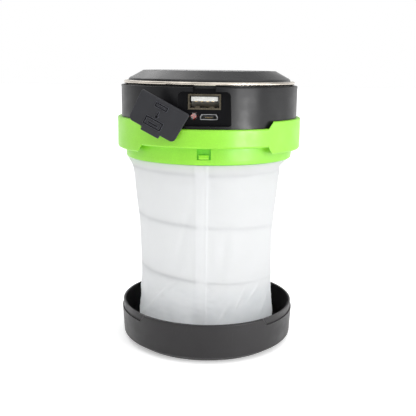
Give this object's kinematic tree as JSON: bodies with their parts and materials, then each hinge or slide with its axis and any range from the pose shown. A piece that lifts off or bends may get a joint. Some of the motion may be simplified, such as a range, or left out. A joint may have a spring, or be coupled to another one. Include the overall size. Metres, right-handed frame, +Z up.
{
  "type": "camping lantern",
  "caption": "Collapsible round lantern: base cup, translucent hooped sleeve, head with lock ring, sockets under a swivelling cover, wire handle and top panel.",
  "frame": {"origin": "centre of the base cup's underside, on the surface that the lantern stands on", "axes": "+Z up along the lantern's axis, -Y towards the ports at the front, +X to the right as seen from the front"},
  "size_m": [0.086, 0.0876, 0.1292],
  "materials": {
    "cup_plastic": "satin moulded ABS, charcoal",
    "shell_plastic": "fine satin moulded ABS, black",
    "dome_plastic": "smooth satin moulded ABS, black",
    "green_plastic": "lime green moulded ABS, low gloss",
    "shade_sheet": "white translucent coated fabric, satin",
    "clear_plastic": "clear polycarbonate",
    "frosted_plastic": "frosted translucent polycarbonate",
    "white_plastic": "white moulded plastic",
    "black_plastic": "black moulded plastic",
    "cover_rubber": "dark grey soft rubber",
    "gasket_rubber": "grey silicone",
    "button_rubber": "dark grey soft-touch",
    "stainless_wire": "drawn stainless steel",
    "screw_steel": "zinc plated",
    "spring_steel": "bright spring wire and pressed steel",
    "socket_metal": "nickel plated",
    "contact_gold": "gold flash",
    "solar_cell": "dark blue-black laminated cells",
    "circuit_board": "green solder mask",
    "white_board": "white solder mask on aluminium",
    "led_phosphor": "yellow phosphor on white",
    "red_dies": "red dies in a white cup",
    "ferrite": "dark grey ferrite",
    "can_aluminium": "aluminium can",
    "cell_foil": "foil pouch",
    "foam": "grey adhesive foam",
    "lead_insulation": "insulated hook-up wire"
  },
  "bodies": {
    "base": {"base_cup": "cup_plastic", "base_lens": "clear_plastic", "lens_gasket": "gasket_rubber", "shade_bottom_ring": "white_plastic", "base_screws": "screw_steel", "shade": "shade_sheet"},
    "head": {"lock_ring": "green_plastic", "body_shell": "shell_plastic", "dome_cover": "dome_plastic", "solar_panel": "solar_cell", "solar_window": "clear_plastic", "shade_top_ring": "white_plastic", "usb_a_shell": "socket_metal", "usb_a_tongue": "white_plastic", "usb_a_contacts": "contact_gold", "micro_usb_shell": "spring_steel", "micro_usb_tongue": "black_plastic", "micro_usb_contacts": "contact_gold", "charge_light": "clear_plastic", "charge_light_dies": "red_dies", "main_pcb": "circuit_board", "pcb_screws": "screw_steel", "controller_chips": "black_plastic", "power_inductor": "ferrite", "capacitors": "can_aluminium", "battery_tray": "black_plastic", "battery_pad": "foam", "battery_cell": "cell_foil", "battery_plug": "white_plastic", "battery_leads": "lead_insulation", "tact_switch": "black_plastic", "led_board": "white_board", "led_chips": "led_phosphor", "torch_led": "led_phosphor", "led_screws": "screw_steel", "reflector": "white_plastic", "led_diffuser": "frosted_plastic", "head_screws": "screw_steel", "dome_screws": "screw_steel", "solar_leads": "lead_insulation", "led_leads": "lead_insulation"},
    "hoop_lower": {"hoop_lower": "spring_steel"},
    "hoop_middle": {"hoop_middle": "spring_steel"},
    "hoop_upper": {"hoop_upper": "spring_steel"},
    "carry_handle": {"carry_handle": "stainless_wire"},
    "port_cover": {"port_cover": "cover_rubber"},
    "power_button": {"power_button": "button_rubber", "switch_plunger": "white_plastic"}
  },
  "joints": [
    {"name": "collapse", "type": "slide", "parent": "base", "child": "head", "axis": [0, 0, 1], "range_m": [-0.0784, 0], "stiffness_N_per_m": 60, "springref_m": 0.05, "deforming": ["shade"]},
    {"name": "hoop_lower_drop", "type": "slide", "parent": "base", "child": "hoop_lower", "axis": [0, 0, 1], "range_m": [-0.0278, 0.0001]},
    {"name": "hoop_middle_drop", "type": "slide", "parent": "base", "child": "hoop_middle", "axis": [0, 0, 1], "range_m": [-0.0517, 0.0001]},
    {"name": "hoop_upper_drop", "type": "slide", "parent": "base", "child": "hoop_upper", "axis": [0, 0, 1], "range_m": [-0.0743, 0.0001]},
    {"name": "handle_swing", "type": "hinge", "parent": "head", "child": "carry_handle", "pos_m": [0, 0, 0.12385], "axis": [-1, 0, 0], "range_deg": [0, 180]},
    {"name": "port_cover_swivel", "type": "hinge", "parent": "head", "child": "port_cover", "pos_m": [-0.009, -0.0424, 0.1097], "axis": [0, 1, 0], "range_deg": [0, 152.1]},
    {"name": "power_button_press", "type": "slide", "parent": "head", "child": "power_button", "axis": [0, 1, 0], "range_m": [-0.0006, 0], "stiffness_N_per_m": 1500, "springref_m": 0.0006}
  ],
  "couplings": [
    {"joint": "hoop_lower_drop", "follows": "collapse", "ratio": 0.3533},
    {"joint": "hoop_middle_drop", "follows": "collapse", "ratio": 0.6582},
    {"joint": "hoop_upper_drop", "follows": "collapse", "ratio": 0.9464}
  ]
}
